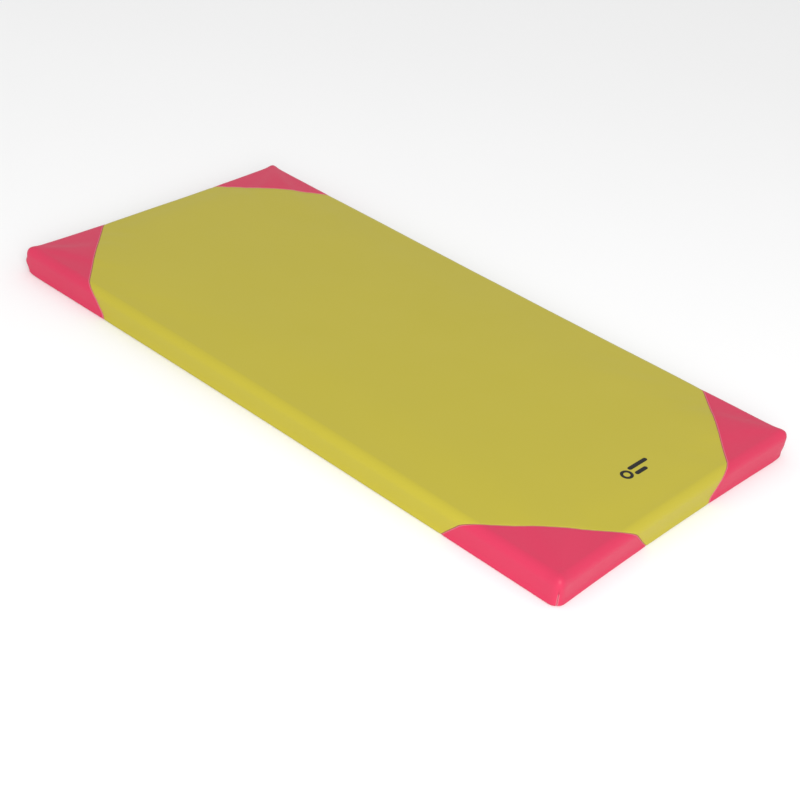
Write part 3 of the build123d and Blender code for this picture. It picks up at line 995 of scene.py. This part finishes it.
def painted_metal(name):
    """Die-cast zinc under black enamel, rubbed bare along its edges."""
    made = Shader(name)
    normal = made.node("NewGeometry").outputs["Normal"]
    rounded = made.node("Bevel", {"Radius": 0.0004}, samples=4).outputs["Normal"]
    flatness = made.node("VectorMath", {0: normal, 1: rounded}, operation="DOT_PRODUCT").outputs["Value"]
    patches = made.scaled(made.noise(900, 4), 0.2, 1, 0.45, 0.6)
    rubbed = made.maths("MULTIPLY", made.scaled(flatness, 1, 0, 0.90, 0.98), patches)
    colour = made.mix(rubbed, (0.012, 0.012, 0.014, 1), (0.46, 0.45, 0.43, 1))
    rough = made.scaled(made.noise(1300, 3), 0.28, 0.42)
    return made.finish(colour, rough, made.bump(made.noise(1800, 2), 0.1, 0.0001), Metallic=rubbed)


def ink(name):
    """Screen-printed ink: near black, a little uneven, following the vinyl's grain."""
    made = Shader(name)
    colour = made.mix(made.noise(300, 4), (0.006, 0.006, 0.006, 1), (0.022, 0.022, 0.020, 1))
    rough = made.scaled(made.noise(700, 2), 0.5, 0.65)
    grain = made.cells(VINYL_GRAIN, feature="SMOOTH_F1")
    return made.finish(colour, rough, made.bump(grain, 0.2, 0.00015), Specular_IOR_Level=0.2)


finishes = {
    vinyl("main_vinyl", LIME, LIME_SHADE, LIME_FOLD_HIGHLIGHT): ("top_cover", "zip_cover"),
    vinyl("corner_vinyl", PINK, PINK_SHADE, PINK_FOLD_HIGHLIGHT): [f"corner_cover_{name}" for name in CORNERS],
    non_slip("base_vinyl"): ("base_cover",),
    open_cell("foam"): ("foam_block",),
    yarn("corner_thread", *PINK_YARN): ("corner_seam_stitches", "corner_edge_stitches"),
    yarn("main_thread", *LIME_YARN): ("base_seam_stitches", "zip_topstitches"),
    woven_tape("zip_tape"): ("zip_tape_upper", "zip_tape_lower"),
    moulded("zip_plastic", ZIP_BLACK): ("zip_teeth_upper", "zip_teeth_lower", "zip_end_stops"),
    painted_metal("zip_metal"): ("zip_slider", "zip_pull"),
    ink("printed_ink"): ("printed_mark",),
}
for material, names in finishes.items():
    for name in names:
        piece = pieces.get(name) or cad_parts[name]
        piece.data.materials.clear()
        piece.data.materials.append(material)


# The stage

def pale_floor():
    """A large pale floor, seen only from above, that leaves the mat's underside lit."""
    corners = np.array([(-1, -1, 0), (1, -1, 0), (1, 1, 0), (-1, 1, 0)]) * FLOOR_HALF
    floor = new_piece("floor", corners - (0, 0, FLOOR_DROP), [[0, 1, 2, 3]])
    made = Shader("floor")
    body = made.mix(made.noise(0.8, 2), (0.91, 0.91, 0.91, 1), (0.93, 0.93, 0.93, 1))
    surface = made.node("BsdfPrincipled", {"Base Color": body, "Roughness": 0.9, "Specular IOR Level": 0.1})
    clear = made.node("BsdfTransparent")
    below = made.node("NewGeometry").outputs["Backfacing"]
    under_mat = made.maths("LESS_THAN", made.node("LightPath").outputs["Ray Length"], UNDER_MAT)
    open_share = made.maths("MAXIMUM", below, under_mat)
    both = made.node("MixShader", {0: open_share, 1: surface.outputs[0], 2: clear.outputs[0]})
    made.node("OutputMaterial", {"Surface": both.outputs[0]})
    floor.data.materials.append(made.material)


def soft_light(name, azimuth, elevation, distance, size, power):
    """A large square lamp that faces the mat from a bearing given as for the camera."""
    lamp = bpy.data.lights.new(name, "AREA")
    lamp.size, lamp.energy = size, power
    lamp.shape = "SQUARE"
    holder = bpy.data.objects.new(name, lamp)
    bpy.context.scene.collection.objects.link(holder)
    back = bearing(azimuth, elevation)
    holder.location = back * distance
    holder.rotation_euler = back.to_track_quat("Z", "Y").to_euler()


def bearing(azimuth, elevation):
    a, e = math.radians(azimuth), math.radians(elevation)
    return Vector((math.sin(a) * math.cos(e), -math.cos(a) * math.cos(e), math.sin(e)))


def camera(azimuth, elevation, roll, target, distance, lens):
    made = bpy.data.cameras.new("camera")
    made.lens, made.sensor_width = lens, 36
    holder = bpy.data.objects.new("camera", made)
    bpy.context.scene.collection.objects.link(holder)
    back = bearing(azimuth, elevation)
    right = Vector((math.cos(math.radians(azimuth)), math.sin(math.radians(azimuth)), 0))
    up = back.cross(right)
    c, s = math.cos(math.radians(roll)), math.sin(math.radians(roll))
    axes = Matrix((right * c + up * s, up * c - right * s, back)).transposed()
    holder.matrix_world = Matrix.Translation(Vector(target) + back * distance) @ axes.to_4x4()
    bpy.context.scene.camera = holder


pale_floor()
world = bpy.data.worlds.new("studio")
world.use_nodes = True
world.node_tree.nodes["Background"].inputs["Color"].default_value = (1, 1, 1, 1)
world.node_tree.nodes["Background"].inputs["Strength"].default_value = 0.80
bpy.context.scene.world = world
soft_light("key", azimuth=46, elevation=30, distance=7.5, size=4.4, power=390)
bpy.context.scene.view_settings.view_transform = "Standard"
camera(azimuth=38.92, elevation=32.52, roll=7.14, target=(0.166, -0.132, 0), distance=4.594, lens=76.7)
